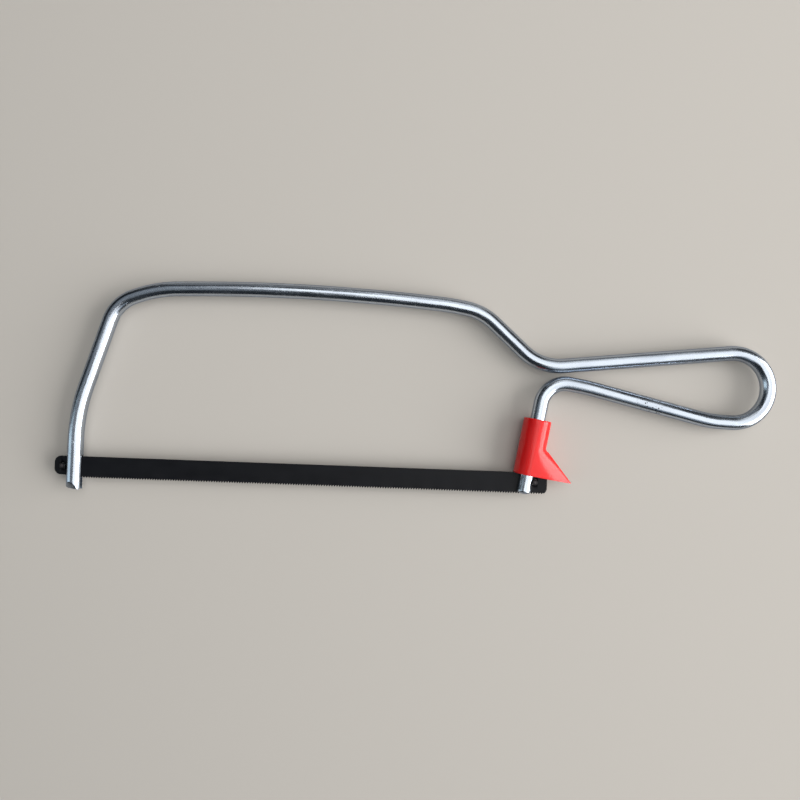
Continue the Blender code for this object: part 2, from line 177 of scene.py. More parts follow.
# %% Sweep the rod between its two slits
ROD_DIAMETER = 4.5
ROD_STEP = 0.7
SLIT_WIDTH = 1.2
SLIT_TOP = 3.27
SMALL_ARC_STEPS = 6
LARGE_ARC_STEPS = 30
rod_radius = ROD_DIAMETER / 2
lip = math.asin(SLIT_WIDTH / ROD_DIAMETER)
small_arc = np.linspace(-lip, lip, SMALL_ARC_STEPS, endpoint=False)
large_arc = np.linspace(lip, math.pi - lip, LARGE_ARC_STEPS, endpoint=False)
ring = np.concatenate([small_arc, large_arc, small_arc + math.pi, large_arc + math.pi])
front_ahead = np.diff(line[:2], axis=0)[0] / line_length[1]
rear_ahead = np.diff(line[-2:], axis=0)[0] / (rod_length - line_length[-2])


def swept_ring(start, end):
    """The ring carried along the rod: its sideways part follows the left of the path, the rest is z."""
    length = np.linspace(start, end, int((end - start) / ROD_STEP) + 1)
    path = np.stack([np.interp(length, line_length, line[:, axis]) for axis in (0, 1)], axis=1)
    ahead = np.gradient(path, axis=0)
    ahead /= np.linalg.norm(ahead, axis=1, keepdims=True)
    left = np.stack([-ahead[:, 1], ahead[:, 0]], axis=1)
    points = np.zeros((len(path), len(ring), 3))
    points[..., :2] = path[:, None] + rod_radius * np.cos(ring)[None, :, None] * left[:, None]
    points[..., 2] = rod_radius * np.sin(ring)
    return points, length


def level_ring(points, ahead):
    """Slide each point of an end ring along the rod until it lies at the roof of the slit."""
    moved = points.copy()
    moved[:, :2] += ((SLIT_TOP - points[:, 1]) / ahead[1])[:, None] * ahead
    return moved


front_roof = (SLIT_TOP - line[0, 1]) / front_ahead[1]
rear_roof = rod_length - (line[-1, 1] - SLIT_TOP) / rear_ahead[1]
body, body_length = swept_ring(front_roof, rear_roof)
body[0] = level_ring(body[0], front_ahead)
body[-1] = level_ring(body[-1], rear_ahead)
print(f"rod body: {body.shape[0]} stations of {body.shape[1]} points")

# %% [markdown]
# The front tip was nipped off: it has a square end and a steep bevel that leans to the front. The rear tip is
# domed, and a round groove in the rear leg holds the rear pin. Every line of a prong simply runs on until it
# meets its tip, and the groove only limits how far out a point may lie. Both stay formulas on the same grid,
# so no cutting is needed. Each flat of a tip is a plane, given by a point on the rod's axis and a direction
# square to the plane.

# %% The four prongs
BEVEL_NORMAL = np.array([0.5, 1.0, -1.6])
BEVEL_PAST_TIP = 1.03
END_NORMAL = np.array([0.108, 1.0, 0.0])
END_SHORT_OF_TIP = 0.6
FRONT_DOME, FRONT_ROUND = 0.1, 0.15
REAR_DOME, REAR_ROUND = 0.65, 0.45
PIN_SPACING = 146.2
GROOVE_RADIUS = 2.1
GROOVE_DEPTH = 1.0
GROOVE_DROP = 0.7
PRONG_STATIONS = 44
RIM_TURNS = np.radians([0.0, 30.0, 60.0])
TIP_RINGS = 10
FLAT_POINTS = 25
leg_out = np.array([-rear_ahead[1], rear_ahead[0]])
pin_level = (np.array([PIN_SPACING, 0.0]) - line[-1]) @ -rear_ahead
groove_centre = (line[-1] - rear_ahead * (pin_level - GROOVE_DROP)
                 + leg_out * (rod_radius - GROOVE_DEPTH + GROOVE_RADIUS))


def flat_between(start, end):
    """Points on the flat side of the slit, from one lip to the other, without the lips themselves."""
    return start + (end - start) * np.linspace(0.0, 1.0, FLAT_POINTS)[1:-1, None]


def reach_to_tip(points, heading, planes, dome):
    """How far points run along the leg before they meet the tip.

    That is the distance to the nearest of the tip's planes, more by the dome's height, which falls with the
    square of the distance from the rod's axis.
    """
    offset = points - planes[0][0]
    off_axis = np.sum(offset ** 2, axis=-1) - (offset @ heading) ** 2
    to_planes = [(point - points) @ normal / (heading @ normal) for point, normal in planes]
    return np.minimum.reduce(to_planes) + dome * (1 - off_axis / rod_radius ** 2)


def prong(outline, heading, planes, dome, rounding):
    """The outline runs straight on from the roof of the slit, turns over a round rim and closes on its tip.

    The rim is a quarter circle: it draws in by one less cosine and falls short by one less sine. On the
    tip the outline shrinks to its middle.
    """
    middle = outline.mean(axis=0)
    turn = np.concatenate([RIM_TURNS, np.full(TIP_RINGS + 1, math.pi / 2)])
    shrink = np.concatenate([np.ones(len(RIM_TURNS)), np.linspace(1.0, 0.0, TIP_RINGS + 1)])
    scale = shrink * (1 - rounding * (1 - np.cos(turn)) / rod_radius)
    rows = middle + (outline - middle) * scale[:, None, None]
    reach = reach_to_tip(rows, heading, planes, dome)
    rows = rows + (reach - rounding * (1 - np.sin(turn))[:, None])[..., None] * heading
    share = np.linspace(0.0, 1.0, PRONG_STATIONS, endpoint=False)[:, None, None]
    return np.concatenate([outline + share * (rows[0] - outline), rows])


def grooved(points):
    """Points inside the groove's cylinder move back, square to the leg, onto its wall."""
    offset = points[..., :2] - groove_centre
    along, reach = offset @ rear_ahead, offset @ leg_out
    wall = -np.sqrt(np.maximum(GROOVE_RADIUS ** 2 - along ** 2, 0.0))
    inside = (np.abs(along) < GROOVE_RADIUS) & (reach > wall)
    moved = points.copy()
    moved[..., :2] += np.where(inside, wall - reach, 0.0)[..., None] * leg_out
    return moved


def leg_end(top_ring, heading, planes, dome, rounding):
    """Both prongs of one leg and the roof of the slit between them."""
    first_lip, second_lip = SMALL_ARC_STEPS, SMALL_ARC_STEPS + LARGE_ARC_STEPS
    half = len(ring) // 2
    around = np.concatenate([top_ring, top_ring[:1]])
    flats, prongs = [], []
    for turn in (0, half):
        arc = around[first_lip + turn:second_lip + turn + 1]
        flat = flat_between(arc[-1], arc[0])
        prongs.append(prong(np.concatenate([arc, flat]), heading, planes, dome, rounding))
        flats.append(flat[::-1])
    roof = np.concatenate([around[:first_lip + 1], flats[0], around[half:half + first_lip + 1], flats[1]])
    return prongs, roof


front_tip, rear_tip = np.array([*line[0], 0.0]), np.array([*line[-1], 0.0])
front_heading, rear_heading = np.array([*-front_ahead, 0.0]), np.array([*rear_ahead, 0.0])
front_end = front_tip - END_SHORT_OF_TIP * front_heading
bevel_point = front_tip + BEVEL_PAST_TIP * front_heading
front_planes = [(front_end, END_NORMAL), (bevel_point, BEVEL_NORMAL)]
rear_planes = [(rear_tip, rear_heading)]
front_prongs, front_slit_roof = leg_end(body[0], front_heading, front_planes, FRONT_DOME, FRONT_ROUND)
rear_prongs, rear_slit_roof = leg_end(body[-1], rear_heading, rear_planes, REAR_DOME, REAR_ROUND)
rear_prongs = [grooved(points) for points in rear_prongs]
print(f"prongs: {len(front_prongs + rear_prongs)} grids of {front_prongs[0].shape[:2]} points")

# %% [markdown]
# The draw lines of the rod run along it and its pits sit on it, so its finish has to know where a point is
# on the straight rod, before bending: out, up, and how far along. That place is stored with each point.


# %% Join the rod into one piece
def place_on_rod(points, start, ahead, length):
    """Where points of a straight end lie on the unbent rod: to the left, up, and along."""
    offset = points[..., :2] - start
    left = np.array([-ahead[1], ahead[0]])
    return np.stack([offset @ left, points[..., 2], length + offset @ ahead], axis=-1)


body_place = np.empty_like(body)
body_place[..., 0] = rod_radius * np.cos(ring)
body_place[..., 1] = rod_radius * np.sin(ring)
body_place[..., 2] = body_length[:, None]
rod_points, rod_places = [body.reshape(-1, 3)], [body_place.reshape(-1, 3)]
rod_faces = grid_faces(*body.shape[:2], round_columns=True)
for prongs, roof, start, ahead, length in ((front_prongs, front_slit_roof, line[0], front_ahead, 0.0),
                                           (rear_prongs, rear_slit_roof, line[-1], rear_ahead, rod_length)):
    for grid in prongs:
        first = sum(map(len, rod_points))
        rows, columns = grid.shape[:2]
        rod_faces += grid_faces(rows, columns, first, round_columns=True)
        rod_points.append(grid.reshape(-1, 3))
        rod_places.append(place_on_rod(grid, start, ahead, length).reshape(-1, 3))
    first = sum(map(len, rod_points))
    rod_faces.append(list(range(first, first + len(roof))))
    rod_points.append(roof)
    rod_places.append(place_on_rod(roof, start, ahead, length))
rod = add_piece("bent_rod", np.concatenate(rod_points), rod_faces,
                attribute=("along_rod", np.concatenate(rod_places)))
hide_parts("frame")
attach(rod, "frame")

# %% [markdown]
# ## The blade
#
# A fine hacksaw blade is a thin strip with teeth milled along one edge. The tooth line is then pressed
# into a slow wave, the set, so that the cut is wider than the blade. Each column of points below is one
# place along the blade; a column runs round the strip's section, and the lower edge moves up and down with
# the teeth. The set is a sine along the blade, full at the tooth edge and gone a little way above it.

# %% The blade's edge, column by column
BLADE_FRONT, BLADE_REAR = -2.65, 150.1
BLADE_BACK = 2.97
BLADE_HEIGHT = 6.6
BLADE_HALF_THICKNESS = 0.3
BLADE_CORNER = 1.9
CORNER_STEPS = 24
PLAIN_END_RISE = 0.85
TOOTH_PITCH = 25.4 / 32
TOOTH_DEPTH = 0.55
TOOTH_TIP = 0.3
TOOTH_SAMPLES = np.array([0.0, 0.1, 0.2, 0.27, 0.33, 0.5, 0.72, 0.92])
TEETH_START = 3.0
tooth_line = BLADE_BACK - BLADE_HEIGHT
teeth_end = BLADE_REAR - BLADE_CORNER
tooth_count = math.ceil((teeth_end - TEETH_START) / TOOTH_PITCH)


def corner_columns():
    """Distances from the blade's end, and how much its rounded corners take from its height there.

    On a quarter circle these are the radius times one less cosine, and the radius times one less sine.
    """
    turn = np.linspace(0.0, math.pi / 2, CORNER_STEPS)
    return BLADE_CORNER * (1 - np.cos(turn)), BLADE_CORNER * (1 - np.sin(turn))


def tooth_rise(place):
    """How far the toothed edge stands above the tips at each place along the blade.

    Within one tooth the edge drops steeply to the tip and climbs gently to the next gullet.
    """
    share = (place - TEETH_START) / TOOTH_PITCH % 1.0
    return TOOTH_DEPTH * (1 - np.minimum(share / TOOTH_TIP, (1 - share) / (1 - TOOTH_TIP)))


corner_inset, corner_drop = corner_columns()
tooth_place = (TEETH_START + TOOTH_PITCH * (np.arange(tooth_count)[:, None] + TOOTH_SAMPLES)).ravel()
tooth_place = tooth_place[tooth_place < teeth_end]
rear_place = BLADE_REAR - corner_inset[::-1]
rear_rise = np.maximum(corner_drop[::-1], tooth_rise(rear_place))
column_x = np.concatenate([BLADE_FRONT + corner_inset, tooth_place, rear_place])
column_top = BLADE_BACK - np.concatenate([corner_drop, np.zeros(len(tooth_place)), corner_drop[::-1]])
column_low = tooth_line + np.concatenate([PLAIN_END_RISE + corner_drop, tooth_rise(tooth_place), rear_rise])
print(f"blade: {tooth_count} teeth, {len(column_x)} columns")

# %% [markdown]
# The section at each column is a thin upright rectangle, its upper edges just broken. Below the set band its
# points lean sideways by a share of the swing that grows towards the teeth. One side is written down, and the
# other is its mirror image in reverse order, so that the points run once round the strip.

# %% Carry the section along the blade
SET_SWING = 0.1
SET_WAVE = 6.35
SET_BAND = 1.3
SET_STEPS = ((0.4, 0.3), (0.75, 0.75), (1.0, 1.0))     # share of the way down the band, share of the swing
EDGE_BREAK = 0.05
in_teeth = (column_x >= TEETH_START) * np.minimum((BLADE_REAR - column_x) / BLADE_CORNER, 1.0)
swing = SET_SWING * np.sin(2 * math.pi * (column_x - TEETH_START) / SET_WAVE) * in_teeth
band = np.maximum(column_low, np.minimum(column_top - EDGE_BREAK, tooth_line + SET_BAND))
half = BLADE_HALF_THICKNESS
one_side = [(column_top, half - EDGE_BREAK, 0.0), (column_top - EDGE_BREAK, half, 0.0), (band, half, 0.0)]
one_side += [(band * (1 - down) + column_low * down, half, bend) for down, bend in SET_STEPS]
around = one_side + [(height, -side, bend) for height, side, bend in reversed(one_side)]
section = np.stack([np.stack([column_x, height, side + bend * swing], axis=1)
                    for height, side, bend in around], axis=1)
rows, columns = section.shape[:2]
blade_faces = grid_faces(rows, columns, round_columns=True)
blade_faces += [list(range(columns)), list(range((rows - 1) * columns, rows * columns))]
blade = add_piece("toothed_blade", section.reshape(-1, 3), blade_faces, sharp_degrees=30.0)

# %% [markdown]
# Two hard pins cross the blade near its ends. A pin is a turned part: a profile of radius and height
# carried round an axis. Its ends are very slightly domed and chamfered. The blade needs a round hole for
# each; a hole through a finished strip is a plain job for a boolean cut, made here with a turned cutter.

# %% Turned pins and their holes
PIN_RADIUS = 0.9
PIN_HALF_LENGTH = 1.2
PIN_CHAMFER = 0.15
PIN_DOME = 0.05
DOME_STEPS = 7
HOLE_CLEARANCE = 0.08
HOLE_HALF_DEPTH = 1.0
TURN_STEPS = 48


def turned(profile, centre_x):
    """Points and faces of a profile of (radius, height) carried once round a pin's axis."""
    turn = np.linspace(0.0, 2 * math.pi, TURN_STEPS, endpoint=False)
    points = np.empty((len(profile), TURN_STEPS, 3))
    points[..., 0] = centre_x + profile[:, :1] * np.cos(turn)
    points[..., 1] = profile[:, :1] * np.sin(turn)
    points[..., 2] = profile[:, 1:]
    return points.reshape(-1, 3), grid_faces(len(profile), TURN_STEPS, round_columns=True)


def cut_away(piece, cutter):
    """Subtract one piece from another for good, and remove the cutter."""
    modifier = piece.modifiers.new("cut", "BOOLEAN")
    modifier.operation = "DIFFERENCE"
    modifier.object = cutter
    graph = bpy.context.evaluated_depsgraph_get()
    cut_mesh = bpy.data.meshes.new_from_object(piece.evaluated_get(graph))
    piece.modifiers.clear()
    piece.data = cut_mesh
    bpy.data.objects.remove(cutter, do_unlink=True)
    print(f"{piece.name}: {len(cut_mesh.polygons)} faces after the cut")


dome_radius = np.linspace(0.0, PIN_RADIUS - PIN_CHAMFER, DOME_STEPS)
dome_height = PIN_HALF_LENGTH - PIN_DOME * (dome_radius / dome_radius[-1]) ** 2
straight_height = np.array([PIN_HALF_LENGTH - PIN_DOME - PIN_CHAMFER, BLADE_HALF_THICKNESS])
upper_half = np.stack([np.append(dome_radius, [PIN_RADIUS, PIN_RADIUS]),
                       np.append(dome_height, straight_height)], axis=1)
pin_profile = np.concatenate([upper_half, upper_half[::-1] * (1, -1)])
hole_profile = np.array([(0.0, 1.0), (1.0, 1.0), (1.0, -1.0), (0.0, -1.0)])
hole_profile *= (PIN_RADIUS + HOLE_CLEARANCE, HOLE_HALF_DEPTH)
pins = {}
for node, centre_x in (("front_pin", 0.0), ("rear_pin", PIN_SPACING)):
    cut_away(blade, add_piece(node + "_hole", *turned(hole_profile, centre_x)))
    pins[node] = add_piece(node + "_turned", *turned(pin_profile, centre_x))
    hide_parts(node)
    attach(pins[node], "blade")
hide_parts("blade")
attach(blade, "blade")

# %% [markdown]
# ## The finger guard
#
# The guard is a moulded sleeve whose lower half is drawn out into a beak. Seen along the leg, the beak's
# flanks leave the round sleeve smoothly and bow in to a narrow ridge. Seen from the side, a sloping roof
# cuts the beak back from its tip to the sleeve, where the flanks end in a soft ledge. So the outer wall has
# one radius for each direction round the leg and each height: the nearer of the flank and the roof, eased
# into each other. Carried round the leg and closed through the bore, these radii make one smooth moulding.

# %% The guard's outer wall
GUARD_RADIUS = 4.25
GUARD_LENGTH = 17.4
GUARD_FOOT = 2.32
BEAK_REACH = 14.1
BEAK_TIP_HALF = 1.0
BEAK_RISE = 8.3
BEAK_SHOULDER = 4.95
LEDGE_BELOW, LEDGE_ABOVE = 0.4, 0.6
EDGE_SHARPNESS = 26.0
FLANK_START = math.radians(5.0)
GUARD_COLUMNS = 220
MEASURED_DIRECTIONS = 20001
roof_slope = BEAK_RISE / (BEAK_REACH - BEAK_SHOULDER)


def guard_radius(direction, height):
    """Radius of the guard's wall in each direction from the leg's axis, at each height.

    Behind the starts of the flanks it is the sleeve's circle. Ahead of them it is the flank or the roof.
    The flank is a parabola that leaves the circle as a tangent and ends at the ridge. The radius at which a
    direction meets it is the root of a quadratic. The roof is the ridge's distance at that height, divided
    by the cosine of the direction. The two are eased by a power mean, and the beak fades into the circle
    over its ledge.
    """
    turn = np.minimum(np.abs(direction), math.pi / 2 - FLANK_START)
    ridge = np.maximum(BEAK_REACH - height / roof_slope, BEAK_SHOULDER)
    start_out, start_side = GUARD_RADIUS * math.sin(FLANK_START), GUARD_RADIUS * math.cos(FLANK_START)
    slope = math.tan(FLANK_START)
    bow = (start_side - BEAK_TIP_HALF - slope * (ridge - start_out)) / (ridge - start_out) ** 2
    square = bow * np.cos(turn) ** 2
    single = np.sin(turn) + (slope - 2 * bow * start_out) * np.cos(turn)
    fixed = start_side + slope * start_out - bow * start_out ** 2
    flank = 2 * fixed / (single + np.sqrt(single ** 2 + 4 * square * fixed))
    roof = ridge / np.cos(turn)
    eased = (flank ** -EDGE_SHARPNESS + roof ** -EDGE_SHARPNESS) ** (-1 / EDGE_SHARPNESS)
    fade = np.clip((height - BEAK_RISE + LEDGE_BELOW) / (LEDGE_BELOW + LEDGE_ABOVE), 0.0, 1.0)
    beak = np.maximum(eased, GUARD_RADIUS) - GUARD_RADIUS
    return GUARD_RADIUS + beak * (1 - fade * fade * (3 - 2 * fade))


def even_directions(count):
    """Directions that space points evenly along the foot, so that the narrow nose gets its share."""
    fine = np.linspace(-math.pi, math.pi, MEASURED_DIRECTIONS)
    radius = guard_radius(fine, 0.0)
    step = np.hypot(np.diff(radius * np.cos(fine)), np.diff(radius * np.sin(fine)))
    length = np.concatenate([[0.0], np.cumsum(step)])
    return np.interp(np.linspace(0.0, length[-1], count, endpoint=False), length, fine)


direction = even_directions(GUARD_COLUMNS)
print(f"guard: {len(direction)} columns round the leg")

# %% [markdown]
# The rows of the wall climb from the rounded foot, past the ledge, to the rounded rim, and come down again
# inside the bore. Each rim is a quarter circle: as on the prongs, it draws in by one less cosine and falls
# short by one less sine.

# %% Round its rims and close it through the bore
BORE_RADIUS = 2.55
BORE_LOWEST = 1.0
FOOT_ROUND = 0.2
RIM_ROUND = 0.3
QUARTER_STEPS = 6
BEAK_ROWS, LEDGE_ROWS, SLEEVE_ROWS, BORE_ROWS = 34, 15, 12, 4
ledge_low, ledge_high = BEAK_RISE - LEDGE_BELOW, BEAK_RISE + LEDGE_ABOVE
quarter = np.linspace(0.0, math.pi / 2, QUARTER_STEPS)
foot_height, foot_inset = FOOT_ROUND * (1 - np.sin(quarter)), FOOT_ROUND * (1 - np.cos(quarter))
rim_height, rim_inset = RIM_ROUND * (1 - np.sin(quarter)), RIM_ROUND * (1 - np.cos(quarter))
climb = np.concatenate([np.linspace(FOOT_ROUND, ledge_low, BEAK_ROWS)[1:-1],
                        np.linspace(ledge_low, ledge_high, LEDGE_ROWS),
                        np.linspace(ledge_high, GUARD_LENGTH - RIM_ROUND, SLEEVE_ROWS)[1:-1]])
outer_height = np.concatenate([foot_height[::-1], climb, GUARD_LENGTH - rim_height])
outer_inset = np.concatenate([foot_inset[::-1], np.zeros_like(climb), rim_inset])
bore_height = np.linspace(GUARD_LENGTH / 2, BORE_LOWEST, BORE_ROWS)
inner_height = np.concatenate([GUARD_LENGTH - rim_height[::-1], bore_height, foot_height])
inner_inset = np.concatenate([rim_inset[::-1], np.zeros_like(bore_height), foot_inset])
outer = guard_radius(direction, outer_height[:, None]) - outer_inset[:, None]
inner = np.broadcast_to(BORE_RADIUS + inner_inset[:, None], (len(inner_inset), GUARD_COLUMNS))
wall = np.concatenate([outer, inner])
wall_height = np.broadcast_to(np.concatenate([outer_height, inner_height])[:, None], wall.shape)
print(f"guard: {wall.shape[0]} points in each loop")

# %% [markdown]
# Below, the beak is hollow, as mouldings are, and a slot lets the guard straddle the blade's back. Both
# are cut from underneath with simple solids. The hollow's walls are straight: they run inside the line that
# touches the sleeve's circle and ends at the beak's tip. The guard sits on the rear leg, so its own axes are
# turned with the leg: out along the beak, up along the leg.

# %% Set the guard on the leg and cut its underside
BEAK_WALL = 1.3
SLOT_HALF_WIDTH = 0.8
SLOT_ABOVE_BLADE = 0.3
SLOT_PAST_BLADE = 0.5
CUT_MARGIN = 3.0
span = math.hypot(BEAK_REACH, BEAK_TIP_HALF)
core_angle = math.asin(GUARD_RADIUS / span) - math.atan2(BEAK_TIP_HALF, BEAK_REACH)
leg_up = -rear_ahead
guard_foot = line[-1] + leg_up * ((GUARD_FOOT - line[-1, 1]) / leg_up[1])


def on_leg(out, up, across):
    """Points given along the beak, up the leg and across the saw's plane, in the drawing's axes."""
    flat = guard_foot + out[..., None] * leg_out + up[..., None] * leg_up
    return np.concatenate([flat, across[..., None]], axis=-1)


def box_corners(low, high):
    """The eight corners of a box, and its six faces."""
    pick = np.array([(i, j, k) for i in (0, 1) for j in (0, 1) for k in (0, 1)])
    corners = np.where(pick, high, low)
    return corners, [[0, 1, 3, 2], [4, 6, 7, 5], [0, 4, 5, 1], [2, 3, 7, 6], [0, 2, 6, 4], [1, 5, 7, 3]]


guard_points = on_leg(wall * np.cos(direction), wall_height, wall * np.sin(direction))
guard = add_piece("guard_moulding", guard_points.reshape(-1, 3),
                  grid_faces(*wall.shape[:2], round_rows=True, round_columns=True))

core, core_faces = box_corners((0.0, 0.0, -1.0), (1.0, 1.0, 1.0))
core_out = np.where(core[:, 0] > 0, BEAK_REACH - 2 * BEAK_WALL, BEAK_SHOULDER)
core_half = (GUARD_RADIUS - BEAK_WALL) / math.cos(core_angle) - core_out * math.tan(core_angle)
core_roof = (BEAK_REACH - core_out) * roof_slope - BEAK_WALL * math.hypot(1.0, roof_slope)
core_up = np.where(core[:, 1] > 0, core_roof, -CUT_MARGIN)
cut_away(guard, add_piece("beak_core", on_leg(core_out, core_up, core[:, 2] * core_half), core_faces))

slot, slot_faces = box_corners((guard_foot[0] - 2 * GUARD_RADIUS, -BLADE_HEIGHT, -SLOT_HALF_WIDTH),
                               (BLADE_REAR + SLOT_PAST_BLADE, BLADE_BACK + SLOT_ABOVE_BLADE, SLOT_HALF_WIDTH))
cut_away(guard, add_piece("blade_slot", slot, slot_faces))
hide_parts("finger_guard")
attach(guard, "guard")

# %% [markdown]
# ## Finishes
#
# Each finish is a small tree of nodes around one Principled shader: a colour, a roughness and a bump, all
# driven by noise at the size that the real surface shows. A number that is the same all over the piece is
# set straight on the shader.


# %% Helpers for node trees
def new_finish(name, **constants):
    """A material with one Principled shader, and the constants set on its own sockets."""
    material = bpy.data.materials.new(name)
    material.use_nodes = True
    shader = material.node_tree.nodes["Principled BSDF"]
    for socket, value in constants.items():
        shader.inputs[socket.replace("_", " ")].default_value = value
    return material, material.node_tree, shader


def add_node(tree, kind, inputs=None, **settings):
    """One node, with its settings, and its inputs set to values or linked to other nodes' outputs."""
    made = tree.nodes.new("ShaderNode" + kind)
    for setting, value in settings.items():
        setattr(made, setting, value)
    for socket, value in (inputs or {}).items():
        if isinstance(value, bpy.types.NodeSocket):
            tree.links.new(value, made.inputs[socket])
        else:
            made.inputs[socket].default_value = value
    return made.outputs[0]


def noise(tree, place, scale, detail=2.0, roughness=0.5):
    """Noise between nought and one whose grain is one over the scale, in each of the three directions."""
    stretched = add_node(tree, "Mapping", {"Vector": place, "Scale": scale})
    return add_node(tree, "TexNoise", {"Vector": stretched, "Scale": 1.0,
                                       "Detail": detail, "Roughness": roughness})


def remap(tree, value, low, high, to_low=0.0, to_high=1.0):
    """A value read between low and high, and written between two others, clamped at both ends."""
    return add_node(tree, "MapRange", {"Value": value, "From Min": low, "From Max": high,
                                       "To Min": to_low, "To Max": to_high})


def blend_colors(tree, share, first, second):
    """First colour where the share is nought, second where it is one."""
    mixed = tree.nodes.new("ShaderNodeMix")
    mixed.data_type = "RGBA"
    tree.links.new(share, mixed.inputs["Factor"])
    for socket, value in (("A", first), ("B", second)):
        target = next(i for i in mixed.inputs if i.name == socket and i.type == "RGBA")
        if isinstance(value, bpy.types.NodeSocket):
            tree.links.new(value, target)
        else:
            target.default_value = (*value, 1.0)
    return next(o for o in mixed.outputs if o.type == "RGBA")


def add_bump(tree, height, distance, below=None):
    """A bump of the given height in metres, on top of another bump where there is one."""
    inputs = {"Height": height, "Distance": distance, "Strength": 1.0}
    if below is not None:
        inputs["Normal"] = below
    return add_node(tree, "Bump", inputs)


# %% [markdown]
# The rod is bright plated steel. Drawing the bar leaves fine lines along it, the plating follows a slightly
# uneven surface, use has left small dents on the bow, and near the middle of the grip the plating is pitted.
# All of it is laid out on the unbent rod, from the place stored with each point. A dent is where a noise
# stands above a level, which is so high on the handle that hardly any is left there. On a metal, the shader's
# specular tint is the colour at a glancing angle. The dark blue there is painted shade: it darkens the
# reflections along the rod's rims, so that they read as dark rims against the floor.

# %% Plated steel
STEEL_COLOR, STAIN_COLOR, PIT_COLOR = (0.52, 0.57, 0.635), (0.42, 0.46, 0.52), (0.05, 0.045, 0.045)
# painted shade: a dark blue glancing colour that darkens the rod's rims
PAINTED_RIM_SHADE_TINT = (0.25, 0.3, 0.4, 1.0)
WAVE_HEIGHT, RIPPLE_HEIGHT, LINE_HEIGHT, DENT_HEIGHT = 0.00004, 0.000004, 0.0000015, 0.00006
BOW_END, HANDLE_START = 0.165, 0.185
BOW_DENT_LEVEL, HANDLE_DENT_LEVEL, DEEPEST_DENT_LEVEL = 0.68, 0.78, 0.79
PIT_START, PIT_END, PIT_FADE = 0.313, 0.324, 0.003
plated, tree, shader = new_finish("plated_steel", Metallic=1.0, Specular_Tint=PAINTED_RIM_SHADE_TINT)
place = add_node(tree, "Attribute", attribute_name="along_rod").node.outputs["Vector"]
along = add_node(tree, "SeparateXYZ", {"Vector": place}).node.outputs["Z"]
draw_lines = noise(tree, place, (6000, 6000, 110), 3.0, 0.6)
ripples = noise(tree, place, (1300, 1300, 1100), 2.0)
waves = noise(tree, place, (420, 420, 200))
dent_level = remap(tree, along, BOW_END, HANDLE_START, BOW_DENT_LEVEL, HANDLE_DENT_LEVEL)
dent_noise = noise(tree, place, (1100, 1100, 800), 3.0, 0.6)
dents = remap(tree, dent_noise, dent_level, DEEPEST_DENT_LEVEL, 1.0, 0.0)
normal = add_bump(tree, waves, WAVE_HEIGHT)
normal = add_bump(tree, ripples, RIPPLE_HEIGHT, normal)
normal = add_bump(tree, draw_lines, LINE_HEIGHT, normal)
normal = add_bump(tree, dents, DENT_HEIGHT, normal)
past_start = remap(tree, along, PIT_START, PIT_START + PIT_FADE)
before_end = remap(tree, along, PIT_END - PIT_FADE, PIT_END, 1.0, 0.0)
stretch = add_node(tree, "Math", {0: past_start, 1: before_end}, operation="MULTIPLY")
pit_cells = add_node(tree, "TexVoronoi", {"Vector": place, "Scale": 1150.0})
pit_dots = remap(tree, pit_cells, 0.2, 0.3, 1.0, 0.0)
pits = add_node(tree, "Math", {0: pit_dots, 1: stretch}, operation="MULTIPLY")
stain = remap(tree, noise(tree, place, (300, 300, 60), 4.0), 0.45, 0.75)
color = blend_colors(tree, stain, STEEL_COLOR, STAIN_COLOR)
color = blend_colors(tree, pits, color, PIT_COLOR)
tree.links.new(color, shader.inputs["Base Color"])
polish = remap(tree, noise(tree, place, (900, 900, 90), 4.0, 0.65), 0.35, 0.75, 0.17, 0.31)
tree.links.new(polish, shader.inputs["Roughness"])
tree.links.new(normal, shader.inputs["Normal"])
rod.data.materials.append(plated)
print("plated steel:", len(tree.nodes), "nodes")

# %% [markdown]
# The blade is painted black after its teeth are cut and set. The paint is thin and satin, a little uneven,
# and rubbed through in specks where the blade has touched something. It lies flat, so Object coordinates
# are enough.

# %% Black paint
DARK_PAINT, LIGHT_PAINT = (0.002, 0.0022, 0.003), (0.006, 0.0065, 0.0085)
RUBBED_PAINT = (0.06, 0.06, 0.063)
PEEL_HEIGHT = 0.000012
paint, tree, shader = new_finish("black_paint", Specular_IOR_Level=0.15)
place = add_node(tree, "TexCoord").node.outputs["Object"]
cloud = noise(tree, place, (120, 300, 300), 4.0)
peel = noise(tree, place, (2600, 2600, 2600), 2.0)
rub = remap(tree, noise(tree, place, (260, 520, 520), 6.0, 0.75), 0.68, 0.76)
color = blend_colors(tree, cloud, DARK_PAINT, LIGHT_PAINT)
color = blend_colors(tree, rub, color, RUBBED_PAINT)
tree.links.new(color, shader.inputs["Base Color"])
tree.links.new(remap(tree, cloud, 0.3, 0.7, 0.36, 0.52), shader.inputs["Roughness"])
tree.links.new(add_bump(tree, peel, PEEL_HEIGHT), shader.inputs["Normal"])
blade.data.materials.clear()
blade.data.materials.append(paint)
print("black paint:", len(tree.nodes), "nodes")
